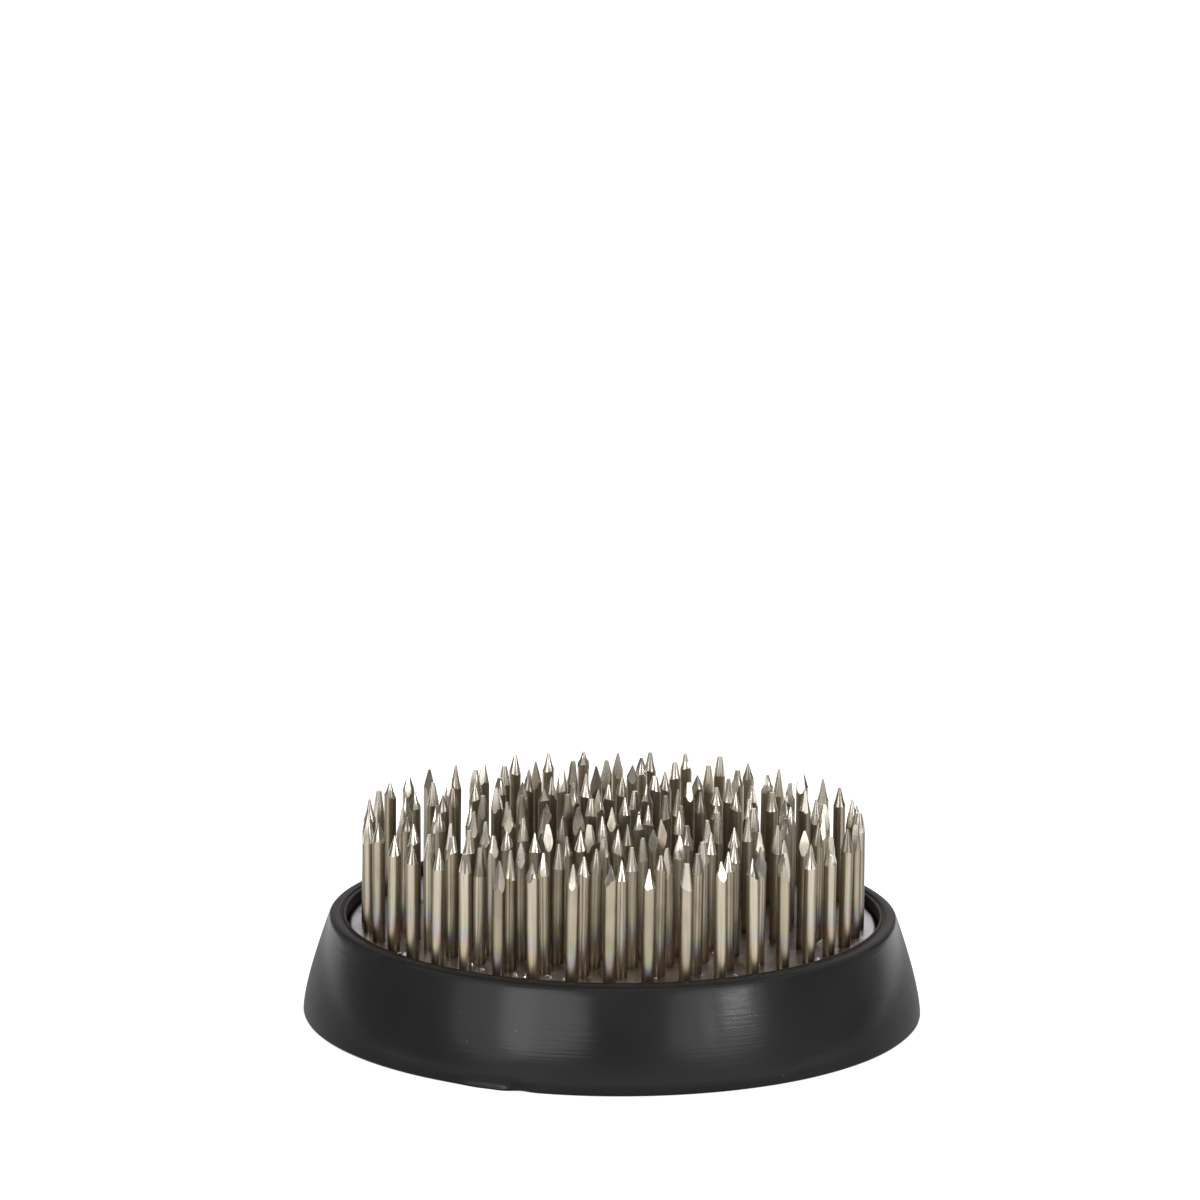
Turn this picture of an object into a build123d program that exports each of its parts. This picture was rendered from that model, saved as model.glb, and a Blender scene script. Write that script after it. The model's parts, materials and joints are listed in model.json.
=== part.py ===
from build123d import *

import os
import random

# A kenzan, the pin holder that a flower arranger presses stems on to: a heavy cast plate
# full of brass needles, which sits loose in a moulded rubber ring. Lengths are in millimetres
# and angles in degrees. The origin is the middle of the ring's foot, and +Z is up.

# Needles: one in the middle of the plate, and circles of them about it, each circle with
# six more than the one inside it. All are cast into the plate.
needle_circles = 7
needles_per_step = 6
needle_spacing = 4.25
needle_diameter = 1.5
needle_exposed = 14.1
needle_root_depth = 6.0
needle_clearance = 0.01
root_chamfer = 0.15

# What sets one needle apart from the next: how far it is pushed in, and how it leans.
height_spread = 0.3
lean_spread = 0.7

# Ground points: three or four flats that run up to a small blunt end.
kind_count = 12
flat_counts = (4, 3, 4)
flat_length = 3.4
flat_length_spread = 0.5
flat_turn_spread = 12.0
blunt_radius = 0.07
blunt_spread = 0.04

# Cast plate.
plate_floor = 3.0
plate_margin = 2.25
plate_top_round = 0.4
plate_bottom_round = 0.6

# Rubber ring: a bore round the plate, and a lip at the foot that carries it.
bore_clearance = 0.3
lip_thickness = 2.0
lip_width = 4.5
rim_above_plate = 1.15
land_width = 2.0
step_width = 0.45
step_drop = 0.15
foot_flare = 3.25
wall_bend_height = 3.0
shoulder_round = 0.8
foot_round = 0.3
lip_round = 0.4
step_round = 0.07

# Worked out from the sizes above.
needle_radius = needle_diameter / 2
needle_length = needle_root_depth + needle_exposed
root_height = lip_thickness + plate_floor
plate_top = root_height + needle_root_depth
plate_radius = needle_circles * needle_spacing + plate_margin
bore_radius = plate_radius + bore_clearance
step_radius = bore_radius + step_width
lip_radius = plate_radius - lip_width
land_radius = bore_radius + land_width
foot_radius = land_radius + foot_flare
ring_height = plate_top + rim_above_plate
step_height = ring_height - step_drop

os.makedirs("parts", exist_ok=True)
scatter = random.Random(41)


def spread(amount):
    """A random amount, up to this much either way."""
    return scatter.uniform(-amount, amount)


def corner(section, radius, height):
    """The corner of a section that is nearest to this radius and height."""
    return section.vertices().sort_by_distance((radius, height))[0]


# Rubber ring: one section with a bowed outer wall, a flat land, a step at the bore and the lip.
# The wall leaves the foot upright and bends in towards the land.
with BuildPart() as rubber_ring:
    with BuildSketch(Plane.XZ) as ring_section:
        with BuildLine():
            Bezier((foot_radius, 0), (foot_radius, wall_bend_height), (land_radius, ring_height))
            Polyline(
                (land_radius, ring_height),
                (step_radius, ring_height),
                (step_radius, step_height),
                (bore_radius, step_height),
                (bore_radius, lip_thickness),
                (lip_radius, lip_thickness),
                (lip_radius, 0),
                (foot_radius, 0),
            )
        make_face()
        fillet(corner(ring_section, land_radius, ring_height), shoulder_round)
        fillet(corner(ring_section, step_radius, ring_height), step_round)
        fillet(corner(ring_section, bore_radius, step_height), step_round)
        fillet(corner(ring_section, lip_radius, lip_thickness), lip_round)
        fillet(corner(ring_section, foot_radius, 0), foot_round)
    revolve(axis=Axis.Z)

# Where each needle's root stands, circle by circle: evenly round the circle, then pushed in
# or left out a little, leaned and turned about its own length.
needle_seats = []
for circle in range(needle_circles + 1):
    count = max(1, circle * needles_per_step)
    seats = []
    for place in PolarLocations(circle * needle_spacing, count):
        nudge = Location(
            (0, 0, root_height + spread(height_spread)),
            (spread(lean_spread), spread(lean_spread), spread(180)),
        )
        seats.append(place * nudge)
    needle_seats.append(seats)

# Cast plate, with a blind bore for each needle.
with BuildPart() as cast_plate:
    with BuildSketch(Plane.XZ) as plate_section:
        with BuildLine():
            Polyline(
                (0, lip_thickness),
                (plate_radius, lip_thickness),
                (plate_radius, plate_top),
                (0, plate_top),
                close=True,
            )
        make_face()
        fillet(corner(plate_section, plate_radius, lip_thickness), plate_bottom_round)
        fillet(corner(plate_section, plate_radius, plate_top), plate_top_round)
    revolve(axis=Axis.Z)
    with Locations(*[seat for seats in needle_seats for seat in seats]):
        Cylinder(
            needle_radius + needle_clearance,
            needle_length,
            align=(Align.CENTER, Align.CENTER, Align.MIN),
            mode=Mode.SUBTRACT,
        )

# Needles in a few kinds, each standing on its root at the origin. A flat starts on the
# needle's side and leans in to its own small distance from the middle of the point.
needle_kinds = []
for kind in range(kind_count):
    flats = flat_counts[kind % len(flat_counts)]
    with BuildPart() as needle:
        Cylinder(needle_radius, needle_length, align=(Align.CENTER, Align.CENTER, Align.MIN))
        chamfer(needle.edges().sort_by(Axis.Z)[0], root_chamfer)
        for flat in range(flats):
            length = flat_length + spread(flat_length_spread)
            reach = blunt_radius + spread(blunt_spread)
            turn = flat * 360 / flats + spread(flat_turn_spread)
            tip = Vector(reach, 0, needle_length).rotate(Axis.Z, turn)
            outward = Vector(length, 0, needle_radius - reach).rotate(Axis.Z, turn)
            split(bisect_by=Plane(origin=tip, z_dir=outward), keep=Keep.BOTTOM)
    needle_kinds.append(needle.part)

# One group of separate needles for the middle and for each circle.
rubber_ring.part.label = "rubber_ring"
export_step(rubber_ring.part, "parts/rubber_ring.step")
cast_plate.part.label = "cast_plate"
export_step(cast_plate.part, "parts/cast_plate.step")
for circle, seats in enumerate(needle_seats):
    with BuildPart() as needle_group:
        for kind, needle_kind in enumerate(needle_kinds):
            own_seats = seats[kind::kind_count]
            if own_seats:
                with Locations(*own_seats):
                    add(needle_kind)
    name = f"needle_ring_{circle}" if circle else "needle_centre"
    needle_group.part.label = name
    export_step(needle_group.part, f"parts/{name}.step")
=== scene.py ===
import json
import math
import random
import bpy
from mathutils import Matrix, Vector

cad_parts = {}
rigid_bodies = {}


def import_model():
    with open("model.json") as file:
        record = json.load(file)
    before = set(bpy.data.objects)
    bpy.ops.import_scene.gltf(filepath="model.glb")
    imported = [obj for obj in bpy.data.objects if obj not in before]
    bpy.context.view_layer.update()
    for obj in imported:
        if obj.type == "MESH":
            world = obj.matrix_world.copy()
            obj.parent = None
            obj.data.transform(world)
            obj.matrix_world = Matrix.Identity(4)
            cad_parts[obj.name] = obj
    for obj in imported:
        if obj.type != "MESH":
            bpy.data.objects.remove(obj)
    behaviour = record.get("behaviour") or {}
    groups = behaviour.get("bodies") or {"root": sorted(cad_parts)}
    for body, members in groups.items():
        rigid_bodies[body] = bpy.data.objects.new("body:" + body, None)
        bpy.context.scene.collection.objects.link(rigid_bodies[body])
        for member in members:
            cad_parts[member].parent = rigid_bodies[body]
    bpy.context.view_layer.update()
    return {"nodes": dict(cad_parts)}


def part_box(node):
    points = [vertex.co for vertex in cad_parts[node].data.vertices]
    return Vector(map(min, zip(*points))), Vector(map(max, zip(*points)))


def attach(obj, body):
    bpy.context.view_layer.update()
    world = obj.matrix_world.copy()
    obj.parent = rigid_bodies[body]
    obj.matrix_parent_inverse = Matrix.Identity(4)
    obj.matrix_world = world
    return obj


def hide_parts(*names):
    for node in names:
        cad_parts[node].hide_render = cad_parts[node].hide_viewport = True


bl_info = {
    "name": "Kenzan pin holder",
    "version": (1, 0, 0),
    "blender": (4, 5, 0),
    "location": "View3D > Sidebar > Pin Holder",
    "description": "Builds a kenzan: brass needles in a cast plate, in a rubber ring",
    "category": "Add Mesh",
}

import bmesh
import bpy
from bpy.props import FloatProperty, FloatVectorProperty, IntProperty, PointerProperty
from mathutils import Matrix, Vector, noise
from mathutils.kdtree import KDTree

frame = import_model()

MM = 0.001
RING_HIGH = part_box("rubber_ring")[1]
PLATE_LOW, PLATE_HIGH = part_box("cast_plate")
NEEDLE_NODES = sorted(name for name in frame["nodes"] if name.startswith("needle"))

# How finely the turned pieces are divided round the holder.
RING_STEPS = 480
PLATE_STEPS = 420

# Sockets of a Mix node that mixes colours.
MIX_A, MIX_B, MIXED = 6, 7, 2

# Settings of a Map Range node that eases in and out.
SMOOTH = {"interpolation_type": "SMOOTHSTEP"}


def linear(hex_colour):
    """An sRGB hex colour as linear RGBA."""
    channels = [int(hex_colour[i : i + 2], 16) / 255 for i in (1, 3, 5)]
    return (*[c / 12.92 if c <= 0.04045 else ((c + 0.055) / 1.055) ** 2.4 for c in channels], 1.0)


def colour_property(name, description, hex_colour):
    """A colour that a user can set, from its sRGB hex value."""
    return FloatVectorProperty(
        name=name, description=description, default=linear(hex_colour), subtype="COLOR", size=4,
        min=0, max=1,
    )


def length_property(name, description, millimetres):
    """A length that a user can set, given in millimetres and kept in metres."""
    return FloatProperty(
        name=name, description=description, default=millimetres * MM, min=0, unit="LENGTH",
        precision=5,
    )


def angle_property(name, description, degrees):
    """An angle that a user can set, given in degrees and kept in radians."""
    return FloatProperty(
        name=name, description=description, default=math.radians(degrees), subtype="ANGLE"
    )


def share_property(name, description, share):
    """A share from 0 to 1 that a user can set."""
    return FloatProperty(
        name=name, description=description, default=share, min=0, max=1, subtype="FACTOR"
    )


class RingSettings(bpy.types.PropertyGroup):
    """Sizes and colours of the rubber ring."""

    bore_clearance: length_property("Bore clearance", "Gap between the plate and the bore", 0.3)
    land_width: length_property("Land width", "Width of the flat rim, from bore to wall", 2.0)
    wall_bend: length_property("Wall bend", "Height at which the upright wall bends in", 3.0)
    shoulder: length_property("Shoulder", "Rounding between the wall and the land", 0.8)
    foot_edge: length_property("Foot edge", "Rounding of the outer edge of the foot", 0.3)
    bead_width: length_property("Bead width", "Width of the bead beside the bore", 0.4)
    bead_drop: length_property("Bead drop", "How far the bead lies under the land", 0.04)
    groove_width: length_property("Groove width", "Width of the groove outside the bead", 0.36)
    groove_depth: length_property("Groove depth", "Depth of the groove outside the bead", 0.26)
    lip_width: length_property("Lip width", "How far the lip reaches in under the plate", 4.5)
    lip_edge: length_property("Lip edge", "Rounding of the lip", 0.4)
    waviness: length_property("Waviness", "How far the moulded wall strays inwards", 0.1)
    flash_reach: length_property("Flash reach", "How far the flash stands out at the foot", 0.5)
    flash_height: length_property("Flash height", "How far up the wall the flash reaches", 0.5)
    swell: length_property("Swell", "How far the wall swells above the flash", 0.12)
    colour: colour_property("Rubber", "Colour of the rubber", "#222223")
    bloom: colour_property("Bloom", "Colour of the greyish bloom on the rubber", "#2b2a2a")
    dust: colour_property("Dust", "Colour of the dust specks", "#8d867c")
    land_colour: colour_property("Land", "Colour of the matt land and bore", "#25211e")


class PlateSettings(bpy.types.PropertyGroup):
    """Sizes and colours of the cast plate."""

    edge_round: length_property("Edge round", "Rounding of the top edge", 0.4)
    foot_round: length_property("Foot round", "Rounding of the bottom edge", 0.6)
    sink: length_property("Sink", "How far the rippled top lies under the full height", 0.12)
    ripple: length_property("Ripple", "Height of the long ripples in the top", 0.12)
    wrinkle: length_property("Wrinkle", "Height of the fine wrinkles in the top", 0.012)
    collar_height: length_property("Collar height", "How far the alloy climbs a needle", 0.15)
    collar_width: length_property("Collar width", "How far the collar spreads round a needle", 0.4)
    colour: colour_property("Alloy", "Colour of the dull alloy", "#8c8384")
    tarnish: colour_property("Tarnish", "Colour of the brown tarnish", "#716355")
    # A paler colour, laid on from about 22 mm out to the plate's edge and on the frost.
    clean: colour_property("Pale alloy", "Colour of the cleaner alloy near the edge", "#b3adb5")
    flake_size: length_property("Flake size", "Width of a flake of dross", 2.6)
    flake_crinkle: length_property("Flake crinkle", "Height of the crinkles of a flake", 0.85)
    flake: colour_property("Dross", "Colour of the bright dross", "#dcdadd")
    seed: IntProperty(name="Seed", description="Seed of the flakes of dross", default=5, min=0)


class NeedleSettings(bpy.types.PropertyGroup):
    """Sizes and colours of the needles."""

    radius: length_property("Radius", "Radius of a needle", 0.75)
    sides: IntProperty(name="Sides", description="Sides of a needle", default=20, min=8, max=48)
    point_length: length_property("Point length", "Length of the turned point", 2.8)
    point_spread: length_property("Point spread", "How much the points differ in length", 0.7)
    slant: share_property("Slant", "Slope of the line where the turned point begins", 0.35)
    blunt: length_property("Blunt end", "Radius of the blunt end of a point", 0.09)
    hollow: share_property("Hollow", "How far a point may be hollow or full half way up", 0.15)
    wear: length_property("Wear", "How far the points are worn short", 0.02)
    burr_share: share_property("Burr share", "Share of the points that keep a burr", 0.07)
    burr_length: length_property("Burr length", "Length of a burr", 1.3)
    burr_width: length_property("Burr width", "Half the width of a burr", 0.09)
    seed: IntProperty(name="Seed", description="Seed of the needles", default=11, min=0)
    body: colour_property("Wire", "Colour of the drawn wire", "#dcd2c0")
    body_deep: colour_property("Wire streaks", "Deeper colour in the wire's streaks", "#675a3f")
    foot: colour_property("Foot", "Colour of the tarnish at the foot", "#4a4234")
    ground: colour_property("Ground", "Colour of the ground flats", "#e0d9cc")
    dull: colour_property("Dull ground", "Colour of the flats that are ground duller", "#8b8173")


class StageSettings(bpy.types.PropertyGroup):
    """Camera, floor and lamps."""

    azimuth: angle_property("Azimuth", "Turn of the camera about the holder", -12.13)
    elevation: angle_property("Elevation", "Height of the camera, seen from the foot", 15.87)
    pitch: angle_property("Pitch", "How far the camera looks down", 11.13)
    roll: angle_property("Roll", "How far the camera leans to the left", 0.457)
    yaw: angle_property("Yaw", "How far the camera looks to the right of the middle", -0.183)
    distance: length_property("Distance", "From the camera to the middle of the foot", 600)
    lens: FloatProperty(
        name="Lens", description="Focal length on a 36 mm sensor", default=147.26, min=1,
        unit="CAMERA",
    )
    floor_radius: length_property("Floor radius", "Radius of the white floor", 3000)
    floor_colour: colour_property("Floor", "Colour of the floor", "#f0f0f0")


def add_node(tree, kind, settings=None, inputs=None):
    """Adds a node, sets its properties, and sets its sockets or links them.

    An input that is given a node is linked to that node's first output.
    """
    new_node = tree.nodes.new(kind)
    for name, value in (settings or {}).items():
        setattr(new_node, name, value)
    for socket, value in (inputs or {}).items():
        if isinstance(value, bpy.types.Node):
            value = value.outputs[0]
        if isinstance(value, bpy.types.NodeSocket):
            tree.links.new(value, new_node.inputs[socket])
        else:
            new_node.inputs[socket].default_value = value
    return new_node


def new_material(name):
    """An empty node material, its node tree, and where a point of the piece lies, in metres."""
    material = bpy.data.materials.new(name)
    material.use_nodes = True
    material.node_tree.nodes.clear()
    place = add_node(material.node_tree, "ShaderNodeTexCoord").outputs["Object"]
    return material, material.node_tree, place


def lines_along(tree, place, size, detail):
    """A pattern of noise that is stretched to a size along X, Y and Z, such as fine lines."""
    stretched = add_node(
        tree, "ShaderNodeMapping", {"vector_type": "TEXTURE"}, {"Vector": place, "Scale": size}
    )
    return add_node(
        tree, "ShaderNodeTexNoise", {}, {"Vector": stretched, "Scale": 1.0, "Detail": detail}
    )


def piece_from_bmesh(shape, name, materials, body):
    """Turns a bmesh into a finished piece that rides on a body."""
    mesh = bpy.data.meshes.new(name)
    shape.to_mesh(mesh)
    shape.free()
    for material in materials:
        mesh.materials.append(material)
    piece = bpy.data.objects.new(name, mesh)
    bpy.context.scene.collection.objects.link(piece)
    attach(piece, body)
    return piece


def join(group, shape):
    """Adds a finished bmesh to a group of them, and frees it."""
    mesh = bpy.data.meshes.new("joined")
    shape.to_mesh(mesh)
    shape.free()
    group.from_mesh(mesh)
    bpy.data.meshes.remove(mesh)


def connected(starts):
    """The vertices that edges join to these ones, with these ones first."""
    reached = set(starts)
    group = list(starts)
    for vert in group:
        for edge in vert.link_edges:
            other = edge.other_vert(vert)
            if other not in reached:
                reached.add(other)
                group.append(other)
    return group


def spin_section(points, steps):
    """A closed solid of revolution about Z, from the (radius, height) points of its section."""
    shape = bmesh.new()
    corners = [shape.verts.new((radius, 0, height)) for radius, height in points]
    edges = [shape.edges.new(pair) for pair in zip(corners, corners[1:])]
    if points[0][0] > 0:
        edges.append(shape.edges.new((corners[-1], corners[0])))
    bmesh.ops.spin(
        shape, geom=corners + edges, cent=(0, 0, 0), axis=(0, 0, 1), angle=2 * math.pi,
        steps=steps, use_merge=True,
    )
    bmesh.ops.remove_doubles(shape, verts=shape.verts, dist=0.001 * MM)
    bmesh.ops.recalc_face_normals(shape, faces=shape.faces)
    for face in shape.faces:
        face.smooth = True
    return shape


def arc(centre, radius, start, end, steps):
    """Points of an arc in a section, from one angle to another, in degrees."""
    angles = [math.radians(start + (end - start) * i / steps) for i in range(steps + 1)]
    return [(centre[0] + radius * math.cos(a), centre[1] + radius * math.sin(a)) for a in angles]


def ring_section(ring):
    """The rubber ring's section: foot, wall, shoulder, land, groove, bead, bore and lip."""
    foot_radius = RING_HIGH.x
    height = RING_HIGH.z
    bore = PLATE_HIGH.x + ring.bore_clearance
    land_edge = bore + ring.land_width
    bead_edge = bore + ring.bead_width
    groove_edge = bead_edge + ring.groove_width
    lip_top = PLATE_LOW.z
    lip_bore = PLATE_HIGH.x - ring.lip_width
    points = arc((foot_radius - ring.foot_edge, ring.foot_edge), ring.foot_edge, -90, 0, 3)
    # The wall is a curve that leaves the foot upright and heads for the land's outer corner.
    # The shoulder is an arc between the wall's slope and the flat land.
    slope = math.atan2(foot_radius - land_edge, height - ring.wall_bend)
    wall_top = height - ring.shoulder * (1 - math.sin(slope))
    wall_steps = 16
    for i in range(1, wall_steps):
        t = i / wall_steps
        rise = 2 * t * (1 - t) * ring.wall_bend + t * t * height
        if ring.foot_edge < rise < wall_top:
            points.append((foot_radius + (land_edge - foot_radius) * t * t, rise))
    shoulder_middle = (
        land_edge - ring.shoulder * (1 - math.sin(slope)) / math.cos(slope), height - ring.shoulder
    )
    points += arc(shoulder_middle, ring.shoulder, math.degrees(slope), 90, 6)
    # The groove is a shallow half round, and the bead between it and the bore lies a little lower.
    groove_middle = 0.5 * (bead_edge + groove_edge)
    points += [
        (groove_edge + 0.15 * ring.groove_width, height),
        (groove_edge, height - 0.2 * ring.groove_depth),
        (groove_middle + 0.2 * ring.groove_width, height - ring.groove_depth),
        (groove_middle - 0.2 * ring.groove_width, height - ring.groove_depth),
    ]
    bead_round = 0.5 * ring.bead_width
    bead_middle = (bore + bead_round, height - ring.bead_drop - bead_round)
    points += arc(bead_middle, bead_round, 20, 180, 9)
    points += [(bore, 0.5 * (height + lip_top)), (bore, lip_top)]
    points += arc((lip_bore + ring.lip_edge, lip_top - ring.lip_edge), ring.lip_edge, 90, 180, 3)
    points += [(lip_bore, 0), (0.5 * (lip_bore + foot_radius), 0)]
    return points


def stray(place, size, seed):
    """Smooth noise from -1 to 1 at a place, with features of about this size."""
    return noise.noise(place / size + Vector((seed, 0.37 * seed, 1.7 * seed)))


def needle_lines(node):
    """The (root, point) of each needle of a CAD node, in order round the circle."""
    solids = bmesh.new()
    solids.from_mesh(frame["nodes"][node].data)
    bmesh.ops.remove_doubles(solids, verts=solids.verts, dist=0.0005 * MM)
    lines = []
    reached = set()
    for first in solids.verts:
        if first in reached:
            continue
        needle = connected([first])
        reached.update(needle)
        places = [vert.co.copy() for vert in needle]
        lowest = min(place.z for place in places)
        highest = max(place.z for place in places)
        # Each end is the middle of the corners that lie level with it, or nearly so.
        root = [place for place in places if place.z < lowest + 0.05 * MM]
        point = [place for place in places if place.z > highest - 0.03 * MM]
        lines.append((sum(root, Vector()) / len(root), sum(point, Vector()) / len(point)))
    solids.free()
    return sorted(lines, key=lambda line: math.atan2(line[0].y, line[0].x))


def needle_feet(height):
    """A search tree of where the needles pass a height, laid flat."""
    places = []
    for node in NEEDLE_NODES:
        for root, point in needle_lines(node):
            foot = root.lerp(point, (height - root.z) / (point.z - root.z))
            places.append(Vector((foot.x, foot.y, 0)))
    feet = KDTree(len(places))
    for index, place in enumerate(places):
        feet.insert(place, index)
    feet.balance()
    return feet


def plate_rise(plate, place):
    """Height of the plate's long ripples and fine wrinkles at a place, over its sunk top."""
    flat = Vector((place.x, place.y, 0))
    return plate.ripple * stray(flat, 5.5 * MM, 1) + plate.wrinkle * stray(flat, 1.3 * MM, 2)


def rubber_material(ring):
    """Moulded EPDM rubber: near black, softly glossy under a waxy film, with scuffs and dust."""
    material, tree, place = new_material("Moulded EPDM rubber")
    # Bloom: wax that came to the surface and was wiped off in places, in patches of 14 mm.
    clouds = add_node(
        tree, "ShaderNodeTexNoise", {}, {"Vector": place, "Scale": 1 / (14 * MM), "Detail": 1.0}
    )
    wiped = add_node(
        tree, "ShaderNodeMapRange", SMOOTH, {"Value": clouds, "From Min": 0.35, "From Max": 0.65}
    )
    # Dust: specks of about 0.2 mm, sown about 3 mm apart in depth too, so few reach the surface.
    specks = add_node(tree, "ShaderNodeTexVoronoi", {}, {"Vector": place, "Scale": 1 / (3 * MM)})
    dusty = add_node(
        tree, "ShaderNodeMapRange", {},
        {"Value": specks, "From Min": 0.06, "From Max": 0.025, "To Max": 0.25},
    )
    colour = ring.colour
    for mask, covering in ((wiped, ring.bloom), (dusty, ring.dust)):
        colour = add_node(
            tree, "ShaderNodeMix", {"data_type": "RGBA"},
            {"Factor": mask, MIX_A: colour, MIX_B: covering},
        ).outputs[MIXED]
    # Scuffs: thin lines that run round the ring, so they are fine in Z and long in X and Y.
    # Real ones are finer, and these are drawn at 0.3 mm so that they show.
    scuffs = lines_along(tree, place, (12 * MM, 12 * MM, 0.3 * MM), 3.0)
    scuff_bump = add_node(
        tree, "ShaderNodeBump", {}, {"Height": scuffs, "Strength": 0.3, "Distance": 0.032 * MM}
    )
    # Grain: the mould's fine spark finish, drawn at 0.25 mm so that it shows.
    grain = add_node(
        tree, "ShaderNodeTexNoise", {}, {"Vector": place, "Scale": 1 / (0.25 * MM), "Detail": 2.0}
    )
    grain_bump = add_node(
        tree, "ShaderNodeBump", {},
        {"Height": grain, "Strength": 0.2, "Distance": 0.01 * MM, "Normal": scuff_bump},
    )
    roughness = add_node(
        tree, "ShaderNodeMapRange", {}, {"Value": wiped, "To Min": 0.29, "To Max": 0.37}
    )
    shader = add_node(
        tree, "ShaderNodeBsdfPrincipled", {},
        {
            "Base Color": colour,
            "Roughness": roughness,
            "IOR": 1.5,
            "Specular IOR Level": 0.13,
            "Coat Weight": 0.34,
            "Coat Roughness": 0.16,
            "Normal": grain_bump,
            "Coat Normal": scuff_bump,
        },
    )
    add_node(tree, "ShaderNodeOutputMaterial", {}, {"Surface": shader})
    return material


def matt_rubber_material(ring):
    """Matt EPDM rubber: the land and the bore, where a rough mould leaves it dark and dull."""
    material, tree, place = new_material("Matt EPDM rubber")
    # The mould's rough finish, drawn at 0.25 mm so that it shows.
    grain = add_node(
        tree, "ShaderNodeTexNoise", {}, {"Vector": place, "Scale": 1 / (0.25 * MM), "Detail": 2.0}
    )
    bump = add_node(
        tree, "ShaderNodeBump", {}, {"Height": grain, "Strength": 0.3, "Distance": 0.02 * MM}
    )
    shader = add_node(
        tree, "ShaderNodeBsdfPrincipled", {},
        {
            "Base Color": ring.land_colour,
            "Roughness": 0.5,
            "IOR": 1.5,
            "Specular IOR Level": 0.1,
            "Normal": bump,
        },
    )
    add_node(tree, "ShaderNodeOutputMaterial", {}, {"Surface": shader})
    return material


def alloy_material(plate):
    """Cast lead and tin alloy: dull mauve grey, brown with tarnish and paler towards the edge."""
    material, tree, place = new_material("Cast lead and tin alloy")
    # Clouds of tarnish about 6 mm across, with a finer mottle in them.
    patches = add_node(
        tree, "ShaderNodeTexNoise", {}, {"Vector": place, "Scale": 1 / (6 * MM), "Detail": 6.0}
    )
    tarnished = add_node(
        tree, "ShaderNodeMapRange", {}, {"Value": patches, "From Min": 0.38, "From Max": 0.62}
    )
    # The alloy is paler from about 22 mm out to the edge, and the line wavers with the patches.
    outward = add_node(tree, "ShaderNodeVectorMath", {"operation": "LENGTH"}, {0: place})
    wavering = add_node(
        tree, "ShaderNodeMath", {"operation": "MULTIPLY_ADD"},
        {0: patches, 1: -16 * MM, 2: outward.outputs["Value"]},
    )
    paler = add_node(
        tree, "ShaderNodeMapRange", {},
        {"Value": wavering, "From Min": 17 * MM, "From Max": 26 * MM, "To Max": 0.8},
    )
    # Frost of fine crystals. Real ones are finer, and these are drawn at 0.9 mm so that they show.
    frost = add_node(
        tree, "ShaderNodeTexNoise", {}, {"Vector": place, "Scale": 1 / (0.9 * MM), "Detail": 6.0}
    )
    frosted = add_node(
        tree, "ShaderNodeMapRange", {},
        {"Value": frost, "From Min": 0.4, "From Max": 0.7, "To Max": 0.45},
    )
    colour = plate.colour
    for mask, covering in (
        (tarnished, plate.tarnish), (paler, plate.clean), (frosted, plate.clean)
    ):
        colour = add_node(
            tree, "ShaderNodeMix", {"data_type": "RGBA"},
            {"Factor": mask, MIX_A: colour, MIX_B: covering},
        ).outputs[MIXED]
    frost_bump = add_node(
        tree, "ShaderNodeBump", {}, {"Height": frost, "Strength": 0.03, "Distance": 0.03 * MM}
    )
    roughness = add_node(
        tree, "ShaderNodeMapRange", {},
        {"Value": frost, "From Min": 0.3, "From Max": 0.7, "To Min": 0.28, "To Max": 0.35},
    )
    shader = add_node(
        tree, "ShaderNodeBsdfPrincipled", {},
        {"Base Color": colour, "Metallic": 1.0, "Roughness": roughness, "Normal": frost_bump},
    )
    add_node(tree, "ShaderNodeOutputMaterial", {}, {"Surface": shader})
    return material


def dross_material(plate):
    """Skimmed tin dross: bright crinkled metal that glints where a small face catches a lamp."""
    material, tree, place = new_material("Skimmed tin dross")
    # Crinkles 0.3 mm across, as on the skin of skimmed metal.
    crinkle = add_node(
        tree, "ShaderNodeTexNoise", {}, {"Vector": place, "Scale": 1 / (0.3 * MM), "Detail": 3.0}
    )
    bump = add_node(
        tree, "ShaderNodeBump", {}, {"Height": crinkle, "Strength": 0.5, "Distance": 0.04 * MM}
    )
    shader = add_node(
        tree, "ShaderNodeBsdfPrincipled", {},
        {"Base Color": plate.flake, "Metallic": 1.0, "Roughness": 0.14, "Normal": bump},
    )
    add_node(tree, "ShaderNodeOutputMaterial", {}, {"Surface": shader})
    return material


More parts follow.
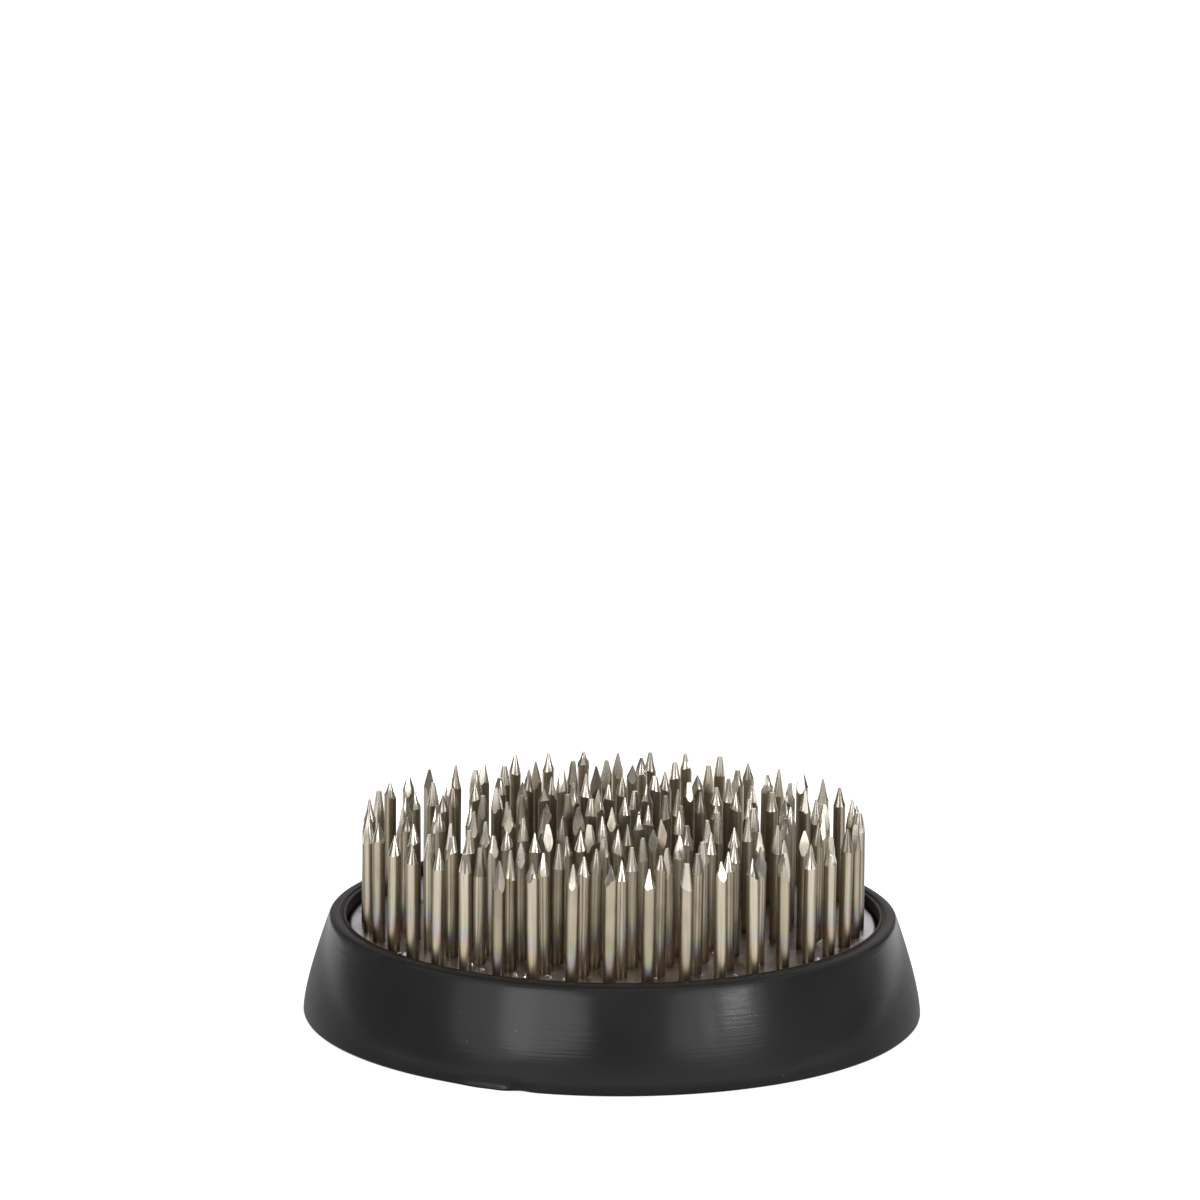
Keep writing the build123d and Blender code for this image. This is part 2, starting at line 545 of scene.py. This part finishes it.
def wire_material(needles):
    """Drawn nickel brass wire: champagne, with fine lines along it and faint lacquer tints."""
    material, tree, place = new_material("Drawn nickel brass wire")
    own_tone = add_node(
        tree, "ShaderNodeAttribute", {"attribute_name": "needle_tone"}
    ).outputs["Fac"]
    # Drawing lines, along Z as the needles stand. Real ones are finer, and these are drawn at
    # 0.1 mm across and 7 mm long so that they show.
    lines = lines_along(tree, place, (0.1 * MM, 0.1 * MM, 7 * MM), 2.0)
    streaked = add_node(
        tree, "ShaderNodeMapRange", {},
        {"Value": lines, "From Min": 0.4, "From Max": 0.75, "To Max": 0.6},
    )
    deeper = add_node(tree, "ShaderNodeMapRange", {}, {"Value": own_tone, "To Max": 0.75})
    # Lacquer tints: a film that thickens down the needle, from the wire's own colour by way of
    # grey green, violet and rose to straw at the foot. Each needle has them a little higher or
    # lower, and the bands are uneven.
    height = add_node(tree, "ShaderNodeSeparateXYZ", {}, {"Vector": place})
    film = add_node(
        tree, "ShaderNodeTexNoise", {}, {"Vector": place, "Scale": 1 / (3.5 * MM), "Detail": 1.0}
    )
    thinning = add_node(
        tree, "ShaderNodeMapRange", {"clamp": False},
        {
            "Value": height.outputs["Z"],
            "From Min": PLATE_HIGH.z + 2 * MM,
            "From Max": PLATE_HIGH.z + 8 * MM,
            "To Min": -0.75,
            "To Max": 0.3,
        },
    )
    uneven = add_node(
        tree, "ShaderNodeMath", {"operation": "MULTIPLY_ADD"}, {0: film, 1: 1.1, 2: thinning}
    )
    banded = add_node(
        tree, "ShaderNodeMath", {"operation": "MULTIPLY_ADD"}, {0: own_tone, 1: 0.6, 2: uneven}
    )
    tints = add_node(tree, "ShaderNodeValToRGB", {}, {"Fac": banded})
    ramp = tints.color_ramp
    ramp.elements[0].position, ramp.elements[1].position = 0.0, 0.9
    ramp.elements[0].color = linear("#cdb87c")
    ramp.elements[1].color = linear("#c6bba4")
    for position, tint in (
        (0.2, "#cfa98c"), (0.34, "#bda3b8"), (0.48, "#a3b2ba"), (0.62, "#b3bd9f"), (0.74, "#c6be96")
    ):
        ramp.elements.new(position).color = linear(tint)
    tinted = add_node(
        tree, "ShaderNodeMapRange", {},
        {"Value": film, "From Min": 0.35, "From Max": 0.65, "To Min": 0.14, "To Max": 0.5},
    )
    # Tarnish over the last 1.4 mm above the plate.
    tarnished = add_node(
        tree, "ShaderNodeMapRange", SMOOTH,
        {
            "Value": height.outputs["Z"],
            "From Min": PLATE_HIGH.z + 1.4 * MM,
            "From Max": PLATE_HIGH.z - 0.5 * MM,
            "To Max": 0.8,
        },
    )
    colour = needles.body
    for mask, covering in (
        (streaked, needles.body_deep),
        (deeper, needles.body_deep),
        (tinted, tints),
        (tarnished, needles.foot),
    ):
        colour = add_node(
            tree, "ShaderNodeMix", {"data_type": "RGBA"},
            {"Factor": mask, MIX_A: colour, MIX_B: covering},
        ).outputs[MIXED]
    line_bump = add_node(
        tree, "ShaderNodeBump", {}, {"Height": lines, "Strength": 0.25, "Distance": 0.015 * MM}
    )
    shader = add_node(
        tree, "ShaderNodeBsdfPrincipled", {},
        {"Base Color": colour, "Metallic": 1.0, "Roughness": 0.33, "Normal": line_bump},
    )
    add_node(tree, "ShaderNodeOutputMaterial", {}, {"Surface": shader})
    return material


def ground_material(needles):
    """Ground nickel brass: brighter than the wire, some flats duller, with lines up the point."""
    material, tree, place = new_material("Ground nickel brass")
    own_tone = add_node(tree, "ShaderNodeAttribute", {"attribute_name": "flat_tone"}).outputs["Fac"]
    dulled = add_node(
        tree, "ShaderNodeMix", {"data_type": "RGBA"},
        {"Factor": own_tone, MIX_A: needles.ground, MIX_B: needles.dull},
    )
    # Grinding lines. Real ones are finer, and these are drawn at 0.14 mm across and 4 mm long
    # so that they show.
    lines = lines_along(tree, place, (0.14 * MM, 0.14 * MM, 4 * MM), 2.0)
    line_bump = add_node(
        tree, "ShaderNodeBump", {}, {"Height": lines, "Strength": 0.15, "Distance": 0.015 * MM}
    )
    # The flats are a little rounded across, in waves 0.5 mm wide and 4 mm long.
    waves = lines_along(tree, place, (0.5 * MM, 0.5 * MM, 4 * MM), 0.0)
    wave_bump = add_node(
        tree, "ShaderNodeBump", {},
        {"Height": waves, "Strength": 0.3, "Distance": 0.05 * MM, "Normal": line_bump},
    )
    roughness = add_node(
        tree, "ShaderNodeMapRange", {}, {"Value": own_tone, "To Min": 0.18, "To Max": 0.29}
    )
    shader = add_node(
        tree, "ShaderNodeBsdfPrincipled", {},
        {
            "Base Color": dulled.outputs[MIXED],
            "Metallic": 1.0,
            "Roughness": roughness,
            "Normal": wave_bump,
        },
    )
    add_node(tree, "ShaderNodeOutputMaterial", {}, {"Surface": shader})
    return material


def floor_material(stage, toward_camera):
    """White paper: plain white to the camera, by a lift of 0.7, and a painted reflection in glossy
    rays.
    """
    material, tree, place = new_material("White paper floor")
    path = add_node(tree, "ShaderNodeLightPath")
    glow = add_node(
        tree, "ShaderNodeMath", {"operation": "MULTIPLY"},
        {0: path.outputs["Is Camera Ray"], 1: 0.7},
    )
    paper = add_node(tree, "ShaderNodeBsdfDiffuse", {}, {"Color": stage.floor_colour})
    lift = add_node(tree, "ShaderNodeEmission", {}, {"Strength": glow})
    lit = add_node(tree, "ShaderNodeAddShader", {}, {0: paper, 1: lift})
    # Glossy rays see a painted reflection in place of the lit paper: a painted shade of 0.35 close
    # round the holder, and from 85 mm out a painted glow of about 0.4 beside it, up to 1.32 before
    # it and up to 1.18 behind it.
    reach = add_node(tree, "ShaderNodeVectorMath", {"operation": "LENGTH"}, {0: place})
    further_out = add_node(
        tree, "ShaderNodeMapRange", SMOOTH,
        {"Value": reach.outputs["Value"], "From Min": 45 * MM, "From Max": 85 * MM},
    )
    forward = add_node(
        tree, "ShaderNodeVectorMath", {"operation": "DOT_PRODUCT"}, {0: place, 1: toward_camera}
    )
    before_it = add_node(
        tree, "ShaderNodeMapRange", SMOOTH,
        {
            "Value": forward.outputs["Value"],
            "From Min": -15 * MM,
            "From Max": 60 * MM,
            "To Min": 0.33,
            "To Max": 1.32,
        },
    )
    behind_it = add_node(
        tree, "ShaderNodeMapRange", SMOOTH,
        {
            "Value": forward.outputs["Value"],
            "From Min": -40 * MM,
            "From Max": -72 * MM,
            "To Max": 0.85,
        },
    )
    around_it = add_node(tree, "ShaderNodeMath", {"operation": "ADD"}, {0: before_it, 1: behind_it})
    painted_reflection_level = add_node(
        tree, "ShaderNodeMix", {}, {"Factor": further_out, "A": 0.35, "B": around_it}
    )
    # The painted reflection: an emission that stands in for the lit paper and the holder's shade on
    # it.
    painted_reflection = add_node(tree, "ShaderNodeEmission", {}, {"Strength": painted_reflection_level})
    both = add_node(
        tree, "ShaderNodeMixShader", {}, {0: path.outputs["Is Glossy Ray"], 1: lit, 2: painted_reflection}
    )
    add_node(tree, "ShaderNodeOutputMaterial", {}, {"Surface": both})
    return material


def studio_world(toward_camera):
    """Plain white to the camera. Else dim, with a pale band before the holder and one behind."""
    world = bpy.data.worlds.new("studio")
    world.use_nodes = True
    sky = world.node_tree
    sky.nodes.clear()
    direction = add_node(sky, "ShaderNodeTexCoord").outputs["Generated"]
    height = add_node(sky, "ShaderNodeSeparateXYZ", {}, {"Vector": direction}).outputs["Z"]
    facing = add_node(
        sky, "ShaderNodeVectorMath", {"operation": "DOT_PRODUCT"}, {0: direction, 1: toward_camera}
    ).outputs["Value"]
    # The sky is brighter overhead.
    level = add_node(
        sky, "ShaderNodeMapRange", SMOOTH,
        {"Value": height, "From Min": 0.25, "From Max": 0.7, "To Min": 0.16, "To Max": 0.6},
    )
    # (height from, height to, facing from, facing to, strength). Heights and facings run from
    # -1 to 1, as sines of angles.
    pale_bands = ((0.02, 0.3, 0.35, 0.8, 0.7), (0.3, 0.6, -0.85, -0.97, 0.9))
    for low, high, start, full, strength in pale_bands:
        band = add_node(
            sky, "ShaderNodeMapRange", SMOOTH,
            {"Value": height, "From Min": low, "From Max": high, "To Min": strength, "To Max": 0.0},
        )
        sector = add_node(
            sky, "ShaderNodeMapRange", SMOOTH,
            {"Value": facing, "From Min": start, "From Max": full},
        )
        level = add_node(
            sky, "ShaderNodeMath", {"operation": "MULTIPLY_ADD"}, {0: band, 1: sector, 2: level}
        )
    ray = add_node(sky, "ShaderNodeLightPath")
    shown = add_node(
        sky, "ShaderNodeMix", {}, {"Factor": ray.outputs["Is Camera Ray"], "A": level, "B": 1.0}
    )
    background = add_node(
        sky, "ShaderNodeBackground", {}, {"Color": (1, 1, 1, 1), "Strength": shown}
    )
    add_node(sky, "ShaderNodeOutputWorld", {}, {"Surface": background})
    return world


class KENZAN_OT_stage(bpy.types.Operator):
    """Adds the white floor, the soft lamps, the world and the camera"""

    bl_idname = "kenzan.stage"
    bl_label = "Stage"

    # (name, shape, turn from the camera and rise in degrees, distance, width and height in
    # metres, power in watts). The softboxes and windows are what the wall's sheen mirrors.
    lamps = (
        ("left softbox", "ELLIPSE", -26, 20, 0.9, 0.54, 0.19, 0.95),
        ("left wall", "ELLIPSE", -46, 17, 0.95, 0.6, 0.3, 0.58),
        ("right softbox", "ELLIPSE", 41, 18, 0.9, 0.64, 0.23, 0.75),
        ("window", "RECTANGLE", 49, 18.5, 0.88, 0.17, 0.036, 0.34),
        ("small window", "RECTANGLE", 37, 17, 0.88, 0.06, 0.07, 0.05),
        ("top softbox", "RECTANGLE", 155, 48, 1.1, 0.8, 0.8, 4.0),
    )

    def execute(self, context):
        stage = context.scene.kenzan_stage
        scene_objects = context.scene.collection.objects
        toward_camera = (math.sin(stage.azimuth), -math.cos(stage.azimuth), 0)
        floor_shape = bmesh.new()
        bmesh.ops.create_circle(
            floor_shape, cap_ends=True, segments=64, radius=stage.floor_radius
        )
        floor_mesh = bpy.data.meshes.new("floor")
        floor_shape.to_mesh(floor_mesh)
        floor_shape.free()
        floor_mesh.materials.append(floor_material(stage, toward_camera))
        floor = bpy.data.objects.new("floor", floor_mesh)
        scene_objects.link(floor)
        context.scene.world = studio_world(toward_camera)
        for name, shape, turn, rise, distance, width, tall, power in self.lamps:
            lamp = bpy.data.lights.new(name, "AREA")
            lamp.shape = shape
            lamp.size = width
            lamp.size_y = tall
            lamp.energy = power
            around = stage.azimuth + math.radians(turn)
            up = math.radians(rise)
            back = Vector(
                (math.sin(around) * math.cos(up), -math.cos(around) * math.cos(up), math.sin(up))
            )
            lamp_object = bpy.data.objects.new(name, lamp)
            lamp_object.location = back * distance
            lamp_object.rotation_euler = (-back).to_track_quat("-Z", "Y").to_euler()
            scene_objects.link(lamp_object)
        camera_object = self.aimed_camera(stage)
        scene_objects.link(camera_object)
        context.scene.camera = camera_object
        context.scene.view_settings.view_transform = "Standard"
        return {"FINISHED"}

    def aimed_camera(self, stage):
        """A camera at its distance from the foot, turned and leaned as the stage's settings say."""
        camera = bpy.data.cameras.new("camera")
        camera.lens = stage.lens
        camera.sensor_width = 36
        camera.clip_start = 0.01
        camera.clip_end = 20
        camera_object = bpy.data.objects.new("camera", camera)
        turn = Matrix.Rotation(stage.azimuth, 4, "Z")
        back = Vector((0, -math.cos(stage.elevation), math.sin(stage.elevation)))
        camera_object.location = turn @ (back * stage.distance)
        ahead = Vector(
            (
                math.sin(stage.yaw) * math.cos(stage.pitch),
                math.cos(stage.yaw) * math.cos(stage.pitch),
                -math.sin(stage.pitch),
            )
        )
        aim = (turn @ ahead).to_track_quat("-Z", "Y").to_matrix()
        camera_object.rotation_euler = (aim @ Matrix.Rotation(stage.roll, 3, "Z")).to_euler()
        return camera_object


class KENZAN_OT_rubber_ring(bpy.types.Operator):
    """Adds the moulded rubber ring"""

    bl_idname = "kenzan.rubber_ring"
    bl_label = "Rubber ring"

    # The flash at the foot is a tab that ends in a nick:
    # (turn in degrees, half width in radians, share of the flash's reach).
    flash = ((-126, 0.06, 0.6), (-121.6, 0.035, 0.5), (-118.3, 0.03, -0.8))
    # Above the flash the wall swells, so that it faces down below the swelling. The half width
    # is in radians too.
    swell_turn = math.radians(-120)
    swell_half_width = 0.13
    swell_height = 3.5 * MM
    swell_spread = 2.5 * MM

    def execute(self, context):
        ring = context.scene.kenzan_ring
        shape = spin_section(ring_section(ring), RING_STEPS)
        land_middle = PLATE_HIGH.x + 0.5 * ring.land_width
        for vert in shape.verts:
            if vert.co.xy.length > land_middle:
                self.shape_wall(vert, ring)
        for face in shape.faces:
            reach = face.calc_center_median().xy.length
            if reach < PLATE_HIGH.x + ring.bore_clearance + ring.land_width:
                face.material_index = 1
        materials = [rubber_material(ring), matt_rubber_material(ring)]
        piece = piece_from_bmesh(shape, "moulded_ring", materials, "holder")
        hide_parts("rubber_ring")
        return {"FINISHED"}

    def shape_wall(self, vert, ring):
        """Moves a vertex of the wall for the flash, the swelling and the mould's unevenness."""
        outward = Vector((vert.co.x, vert.co.y, 0)).normalized()
        turn = math.atan2(vert.co.y, vert.co.x)
        fade = max(0.0, 1 - vert.co.z / ring.flash_height)
        for flash_turn, half_width, share in self.flash:
            aside = (turn - math.radians(flash_turn)) / half_width
            vert.co += outward * (share * ring.flash_reach) * fade * math.exp(-aside * aside)
        aside = (turn - self.swell_turn) / self.swell_half_width
        above = (vert.co.z - self.swell_height) / self.swell_spread
        vert.co += outward * ring.swell * math.exp(-aside * aside - above * above)
        # Long hollows of about 24 mm, with shorter ones of about 9 mm in them.
        dent = 0.5 + 0.3 * stray(vert.co, 24 * MM, 3) + 0.4 * stray(vert.co, 9 * MM, 6)
        vert.co -= outward * ring.waviness * max(0.0, dent)


class KENZAN_OT_cast_plate(bpy.types.Operator):
    """Adds the cast plate, with its rippled top and a collar round each needle"""

    bl_idname = "kenzan.cast_plate"
    bl_label = "Cast plate"

    def execute(self, context):
        plate = context.scene.kenzan_plate
        needles = context.scene.kenzan_needles
        top = PLATE_HIGH.z - plate.sink
        foot_start = PLATE_HIGH.x - plate.foot_round
        edge_start = PLATE_HIGH.x - plate.edge_round
        points = [(0, PLATE_LOW.z), (foot_start, PLATE_LOW.z)]
        points += arc((foot_start, PLATE_LOW.z + plate.foot_round), plate.foot_round, -60, 0, 3)
        points += arc((edge_start, top - plate.edge_round), plate.edge_round, 0, 90, 4)
        top_rings = 104
        points += [(edge_start * (1 - i / top_rings), top) for i in range(1, top_rings + 1)]
        shape = spin_section(points, PLATE_STEPS)
        feet = needle_feet(top)
        for vert in shape.verts:
            if vert.co.z > top - 0.5 * plate.edge_round:
                foot, _, distance = feet.find((vert.co.x, vert.co.y, 0))
                gap = max(0.0, distance - needles.radius)
                # The alloy wets some needles higher than others, in patches about 9 mm across.
                climb = plate.collar_height * max(0.0, 0.5 + 1.2 * stray(foot, 9 * MM, 4))
                collar = climb * math.exp(-2 * gap / plate.collar_width)
                vert.co.z += plate_rise(plate, vert.co) + collar
        piece = piece_from_bmesh(shape, "rippled_plate", [alloy_material(plate)], "pin_plate")
        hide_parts("cast_plate")
        return {"FINISHED"}


class KENZAN_OT_dross(bpy.types.Operator):
    """Adds the crinkled flakes of bright dross that the casting left on the plate"""

    bl_idname = "kenzan.dross"
    bl_label = "Dross"

    # Where flakes lie:
    # (turn about the plate in degrees, share of the plate's radius, share of the flake size).
    flake_places = (
        (-129.2, 0.888, 0.45), (-138.5, 0.64, 0.8), (-149, 0.655, 0.7), (-140.6, 0.845, 0.5),
        (-118.4, 0.852, 0.5), (-113.8, 0.868, 0.3), (-108.5, 0.29, 0.8), (-91, 0.84, 0.3),
        (-72, 0.9, 0.4), (-61, 0.82, 0.5), (-48, 0.95, 0.5), (-33, 0.86, 0.8), (-19, 0.92, 0.7),
        (-4, 0.86, 0.5), (9, 0.9, 0.4), (31, 0.9, 0.6), (66, 0.955, 0.7), (71, 0.88, 0.5),
        (96, 0.95, 0.6), (128, 0.93, 0.5), (171, 0.93, 0.9), (-158, 0.95, 0.8), (-64, 0.62, 0.6),
        (-8, 0.55, 0.8), (18, 0.7, 0.9), (75, 0.45, 0.6), (-130, 0.6, 0.5), (-28, 0.3, 0.7),
        (-126.4, 0.868, 0.4), (-132.4, 0.872, 0.35), (-123.6, 0.87, 0.3), (-136.2, 0.858, 0.35),
    )
    thickness = 0.12 * MM
    # How far a flake's rim hangs down, and how ragged it is, as a share of its width.
    rim_sag = 0.35 * MM
    ragged = 0.06

    def execute(self, context):
        plate = context.scene.kenzan_plate
        chance = random.Random(plate.seed)
        flakes = bmesh.new()
        for turn, share, size in self.flake_places:
            reach = share * (PLATE_HIGH.x - plate.edge_round)
            facing = Vector((math.cos(math.radians(turn)), math.sin(math.radians(turn)), 0))
            join(flakes, self.crinkled_flake(facing * reach, size, chance, plate))
        piece = piece_from_bmesh(flakes, "dross_flakes", [dross_material(plate)], "pin_plate")
        return {"FINISHED"}

    def crinkled_flake(self, middle, size, chance, plate):
        """A thin flake that lies on the plate, highest in the middle, crinkled and ragged."""
        width = plate.flake_size * size
        length = width * chance.uniform(0.5, 1.0)
        place = Matrix.Translation(middle) @ Matrix.Rotation(chance.uniform(0, math.pi), 4, "Z")
        flake = bmesh.new()
        bmesh.ops.create_grid(
            flake, x_segments=7, y_segments=7, size=0.5,
            matrix=place @ Matrix.Diagonal((width, length, 1, 1)),
        )
        tallest = plate.flake_crinkle * (0.4 + 0.6 * size)
        for vert in flake.verts:
            outward = min(1.0, 2 * (vert.co - middle).length / width)
            crinkle = chance.random() * tallest * (1 - 0.6 * outward)
            vert.co.x += chance.uniform(-self.ragged, self.ragged) * width
            vert.co.y += chance.uniform(-self.ragged, self.ragged) * width
            lying = PLATE_HIGH.z - plate.sink + plate_rise(plate, vert.co)
            vert.co.z = lying + crinkle - self.rim_sag * outward ** 2
        bmesh.ops.triangulate(flake, faces=flake.faces)
        copied = bmesh.ops.duplicate(flake, geom=flake.faces[:])["geom"]
        lower = [item for item in copied if isinstance(item, bmesh.types.BMVert)]
        bmesh.ops.translate(flake, verts=lower, vec=(0, 0, -self.thickness))
        bmesh.ops.bridge_loops(flake, edges=[edge for edge in flake.edges if edge.is_boundary])
        bmesh.ops.recalc_face_normals(flake, faces=flake.faces)
        return flake


class KENZAN_OT_needles(bpy.types.Operator):
    """Adds the needles, one piece for each circle, each needle with its own ground point"""

    bl_idname = "kenzan.needles"
    bl_label = "Needles"

    # How many flats a point may have, and what its blunt end's radius may be multiplied by.
    flat_counts = (0, 0, 1, 2, 2, 3, 3, 4)
    bluntness = (0.8, 1.2, 1.8, 2.6, 3.6)
    # Edges that turn by more than this look sharp.
    sharp_angle = math.radians(28)

    def execute(self, context):
        needles = context.scene.kenzan_needles
        materials = [wire_material(needles), ground_material(needles)]
        for node in NEEDLE_NODES:
            chance = random.Random(f"{needles.seed} {node}")
            group = bmesh.new()
            for root, point in needle_lines(node):
                length = (point - root).length - needles.wear
                wire = bmesh.new()
                needle_tone = wire.verts.layers.float.new("needle_tone")
                flat_tone = wire.faces.layers.float.new("flat_tone")
                self.cut_wire(wire, flat_tone, length, chance, needles)
                if chance.random() < needles.burr_share:
                    self.curl_burr(wire, length, chance, needles)
                own_tone = chance.random()
                for vert in wire.verts:
                    vert[needle_tone] = own_tone
                lean = (point - root).to_track_quat("Z", "Y").to_matrix().to_4x4()
                bmesh.ops.transform(
                    wire, matrix=Matrix.Translation(root) @ lean, verts=wire.verts
                )
                join(group, wire)
            name = node.replace("needle", "ground_needle")
            piece = piece_from_bmesh(group, name, materials, "pin_plate")
            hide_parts(node)
        return {"FINISHED"}

    def cut_wire(self, wire, flat_tone, length, chance, needles):
        """Makes an upright wire of this length, its point turned and then touched up with flats."""
        bmesh.ops.create_cone(
            wire, cap_ends=True, segments=needles.sides, radius1=needles.radius,
            radius2=needles.radius, depth=length, matrix=Matrix.Translation((0, 0, length / 2)),
        )
        point_length = needles.point_length + chance.uniform(-1, 1) * needles.point_spread
        flats = chance.choice(self.flat_counts)
        # A point that gets flats is turned shorter first.
        turned_length = point_length * (chance.uniform(0.62, 1.0) if flats else 1.0)
        blunt = needles.blunt * chance.choice(self.bluntness)
        slope = Vector(
            (chance.uniform(-1, 1) * needles.slant, chance.uniform(-1, 1) * needles.slant, 1)
        )
        self.cut(wire, Vector((0, 0, length - turned_length)), slope, False)
        end = [vert for vert in wire.verts if vert.co.z > length - 0.1 * turned_length]
        drawn_in = blunt / needles.radius
        bmesh.ops.scale(wire, verts=end, vec=(drawn_in, drawn_in, 1))
        tone = chance.random() ** 2
        for face in wire.faces:
            if face.calc_center_median().z > length - 0.8 * turned_length:
                face.material_index = 1
                face[flat_tone] = tone
        first_turn = chance.uniform(0, 2 * math.pi)
        for flat in range(flats):
            flat_length = point_length * chance.uniform(0.9, 1.2)
            reach = blunt * chance.uniform(0.2, 0.9)
            turn = first_turn + 2 * math.pi * flat / flats + chance.uniform(-0.3, 0.3)
            aside = Vector((math.cos(turn), math.sin(turn), 0))
            steep = aside * flat_length + Vector((0, 0, needles.radius - reach))
            cut = self.cut(wire, aside * reach + Vector((0, 0, length)), steep, True)
            rim = [item for item in cut if isinstance(item, bmesh.types.BMEdge)]
            tone = chance.random() ** 2
            for face in bmesh.ops.edgeloop_fill(wire, edges=rim, mat_nr=1)["faces"]:
                face[flat_tone] = tone
        # The wheel leaves the points a little hollow or full, most of all about half way up:
        # (how far down the point, share of the hollow).
        hollow = needles.hollow * chance.uniform(-0.8, 1)
        for share, amount in ((0.35, 0.8), (0.68, 1.0)):
            level = Vector((0, 0, length - turned_length * share))
            cut = self.cut(wire, level, Vector((0, 0, 1)), False)
            rim = [item for item in cut if isinstance(item, bmesh.types.BMVert)]
            drawn_in = 1 - amount * hollow
            bmesh.ops.scale(wire, verts=rim, vec=(drawn_in, drawn_in, 1))
        # Edges stay sharp round each flat, round the point and round the blunt end.
        wire.normal_update()
        for face in wire.faces:
            face.smooth = True
        for edge in wire.edges:
            side, other = edge.link_faces
            same_flat = side[flat_tone] == other[flat_tone]
            edge.smooth = same_flat and edge.calc_face_angle() < self.sharp_angle

    def cut(self, wire, place, normal, clear_outer):
        """Cuts a wire by a plane, clears the outer side if asked, and returns what is cut."""
        return bmesh.ops.bisect_plane(
            wire, geom=wire.verts[:] + wire.edges[:] + wire.faces[:], plane_co=place,
            plane_no=normal, clear_outer=clear_outer,
        )["geom_cut"]

    def curl_burr(self, wire, length, chance, needles):
        """Adds the thin curl of metal that grinding left beside a point."""
        width = needles.burr_width
        # The angle that the burr curls through, in radians.
        bend = chance.uniform(1.2, 2.7)
        radius = needles.burr_length * chance.uniform(0.6, 1.0) / bend
        turn = Matrix.Rotation(chance.uniform(0, 2 * math.pi), 3, "Z")
        start = Vector((0, 0, length - radius - width))
        section = [(0, -width, 0), (0.6 * width, 0, 0), (0, width, 0)]
        corners = [wire.verts.new(start + turn @ Vector(corner)) for corner in section]
        sliver = wire.faces.new(corners)
        sliver.material_index = 1
        swept = bmesh.ops.spin(
            wire, geom=[sliver, *sliver.edges, *corners],
            cent=start + turn @ Vector((radius, 0, 0)), axis=turn @ Vector((0, 1, 0)),
            angle=bend, steps=6,
        )
        end = [item for item in swept["geom_last"] if isinstance(item, bmesh.types.BMVert)]
        bmesh.ops.pointmerge(wire, verts=end, merge_co=end[0].co)
        faces = {face for vert in connected(corners) for face in vert.link_faces}
        bmesh.ops.recalc_face_normals(wire, faces=list(faces))


class KENZAN_PT_panel(bpy.types.Panel):
    """Lists the operators that build the pin holder"""

    bl_label = "Kenzan pin holder"
    bl_idname = "KENZAN_PT_panel"
    bl_space_type = "VIEW_3D"
    bl_region_type = "UI"
    bl_category = "Pin Holder"

    def draw(self, context):
        for operator in OPERATORS:
            self.layout.operator(operator.bl_idname)


SETTINGS = {
    "kenzan_ring": RingSettings,
    "kenzan_plate": PlateSettings,
    "kenzan_needles": NeedleSettings,
    "kenzan_stage": StageSettings,
}
OPERATORS = (
    KENZAN_OT_stage, KENZAN_OT_rubber_ring, KENZAN_OT_cast_plate, KENZAN_OT_dross, KENZAN_OT_needles
)
CLASSES = (*SETTINGS.values(), *OPERATORS, KENZAN_PT_panel)


def register():
    for cls in CLASSES:
        bpy.utils.register_class(cls)
    for name, group in SETTINGS.items():
        setattr(bpy.types.Scene, name, PointerProperty(type=group))


def unregister():
    for name in SETTINGS:
        delattr(bpy.types.Scene, name)
    for cls in reversed(CLASSES):
        bpy.utils.unregister_class(cls)


def main():
    register()
    bpy.ops.kenzan.stage()
    bpy.ops.kenzan.rubber_ring()
    bpy.ops.kenzan.cast_plate()
    bpy.ops.kenzan.dross()
    bpy.ops.kenzan.needles()


if __name__ == "__main__":
    main()
